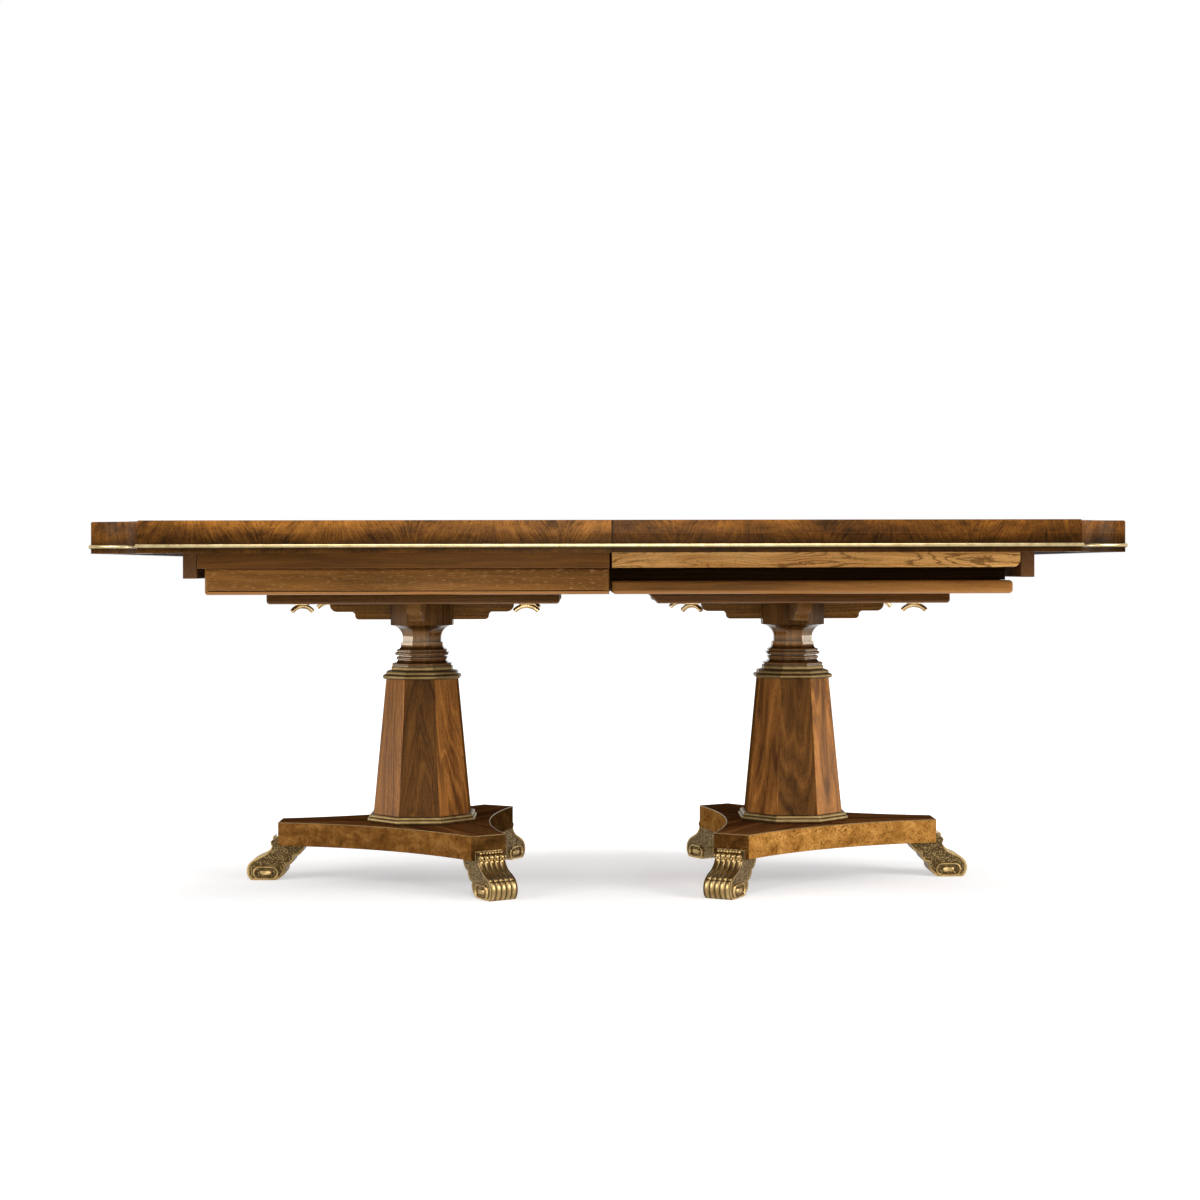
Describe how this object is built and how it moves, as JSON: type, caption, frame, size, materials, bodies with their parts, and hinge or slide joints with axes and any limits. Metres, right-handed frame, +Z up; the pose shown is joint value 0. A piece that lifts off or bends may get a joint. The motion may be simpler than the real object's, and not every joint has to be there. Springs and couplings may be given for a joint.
{
  "type": "double pedestal dining table",
  "caption": "Extending dining table on two octagonal pedestals with scrolled brass feet; a scoop-cornered top in two halves that draw apart on wooden runners.",
  "frame": {"origin": "on the floor, under the middle of the table", "axes": "+X along the table to the half that slides, +Y to the back, +Z up"},
  "size_m": [2.028, 1.151, 0.762],
  "materials": {
    "walnut_veneer": "satin lacquer over figured walnut veneer",
    "rail_wood": "thin satin stain",
    "slide_hardwood": "waxed dark hardwood",
    "pedestal_walnut": "satin lacquer over walnut",
    "burl_veneer": "satin lacquer over burl veneer",
    "polished_brass": "polished, lightly aged",
    "antique_brass": "cast, patinated in the recesses",
    "screw_brass": "plain turned"
  },
  "bodies": {
    "left_half": {"left_back_bearer": "rail_wood", "left_back_edge": "walnut_veneer", "left_back_foot": "antique_brass", "left_back_upper_rail": "rail_wood", "left_base_ring": "polished_brass", "left_brackets": "pedestal_walnut", "left_cap_block": "pedestal_walnut", "left_collar": "polished_brass", "left_column": "pedestal_walnut", "left_edge_bead": "polished_brass", "left_end_edge": "walnut_veneer", "left_end_rail": "rail_wood", "left_front_bearer": "rail_wood", "left_front_edge": "walnut_veneer", "left_front_foot": "antique_brass", "left_front_upper_rail": "rail_wood", "left_inner_guide": "slide_hardwood", "left_lower_rail": "rail_wood", "left_neck": "pedestal_walnut", "left_outer_foot": "antique_brass", "left_plinth": "burl_veneer", "left_runner": "slide_hardwood", "left_runner_bed": "slide_hardwood", "left_slide_board": "rail_wood", "left_top_guide": "slide_hardwood", "left_top_panel": "walnut_veneer"},
    "right_half": {"right_back_bearer": "rail_wood", "right_back_edge": "walnut_veneer", "right_back_foot": "antique_brass", "right_back_upper_rail": "rail_wood", "right_base_ring": "polished_brass", "right_brackets": "pedestal_walnut", "right_cap_block": "pedestal_walnut", "right_collar": "polished_brass", "right_column": "pedestal_walnut", "right_edge_bead": "polished_brass", "right_end_edge": "walnut_veneer", "right_end_rail": "rail_wood", "right_front_bearer": "rail_wood", "right_front_edge": "walnut_veneer", "right_front_foot": "antique_brass", "right_front_upper_rail": "rail_wood", "right_inner_guide": "slide_hardwood", "right_lower_rail": "rail_wood", "right_neck": "pedestal_walnut", "right_outer_foot": "antique_brass", "right_plinth": "burl_veneer", "right_runner": "slide_hardwood", "right_runner_bed": "slide_hardwood", "right_slide_board": "rail_wood", "right_top_guide": "slide_hardwood", "right_top_panel": "walnut_veneer"},
    "left_wing_screw_1_body": {"left_wing_screw_1": "screw_brass"},
    "left_wing_screw_2_body": {"left_wing_screw_2": "screw_brass"},
    "left_wing_screw_3_body": {"left_wing_screw_3": "screw_brass"},
    "left_wing_screw_4_body": {"left_wing_screw_4": "screw_brass"},
    "right_wing_screw_1_body": {"right_wing_screw_1": "screw_brass"},
    "right_wing_screw_2_body": {"right_wing_screw_2": "screw_brass"},
    "right_wing_screw_3_body": {"right_wing_screw_3": "screw_brass"},
    "right_wing_screw_4_body": {"right_wing_screw_4": "screw_brass"}
  },
  "joints": [
    {"name": "extension_slide", "type": "slide", "parent": "left_half", "child": "right_half", "axis": [1, 0, 0], "range_m": [0, 0.6]},
    {"name": "left_wing_screw_1_turn", "type": "hinge", "parent": "left_half", "child": "left_wing_screw_1_body", "pos_m": [-0.63325, 0.218, 0.5975], "axis": [0, 0, 1], "continuous": true},
    {"name": "left_wing_screw_2_turn", "type": "hinge", "parent": "left_half", "child": "left_wing_screw_2_body", "pos_m": [-0.17125, 0.218, 0.5975], "axis": [0, 0, 1], "continuous": true},
    {"name": "left_wing_screw_3_turn", "type": "hinge", "parent": "left_half", "child": "left_wing_screw_3_body", "pos_m": [-0.63325, -0.218, 0.5975], "axis": [0, 0, 1], "continuous": true},
    {"name": "left_wing_screw_4_turn", "type": "hinge", "parent": "left_half", "child": "left_wing_screw_4_body", "pos_m": [-0.17125, -0.218, 0.5975], "axis": [0, 0, 1], "continuous": true},
    {"name": "right_wing_screw_1_turn", "type": "hinge", "parent": "right_half", "child": "right_wing_screw_1_body", "pos_m": [0.63325, -0.218, 0.5975], "axis": [0, 0, 1], "continuous": true},
    {"name": "right_wing_screw_2_turn", "type": "hinge", "parent": "right_half", "child": "right_wing_screw_2_body", "pos_m": [0.17125, -0.218, 0.5975], "axis": [0, 0, 1], "continuous": true},
    {"name": "right_wing_screw_3_turn", "type": "hinge", "parent": "right_half", "child": "right_wing_screw_3_body", "pos_m": [0.63325, 0.218, 0.5975], "axis": [0, 0, 1], "continuous": true},
    {"name": "right_wing_screw_4_turn", "type": "hinge", "parent": "right_half", "child": "right_wing_screw_4_body", "pos_m": [0.17125, 0.218, 0.5975], "axis": [0, 0, 1], "continuous": true}
  ]
}
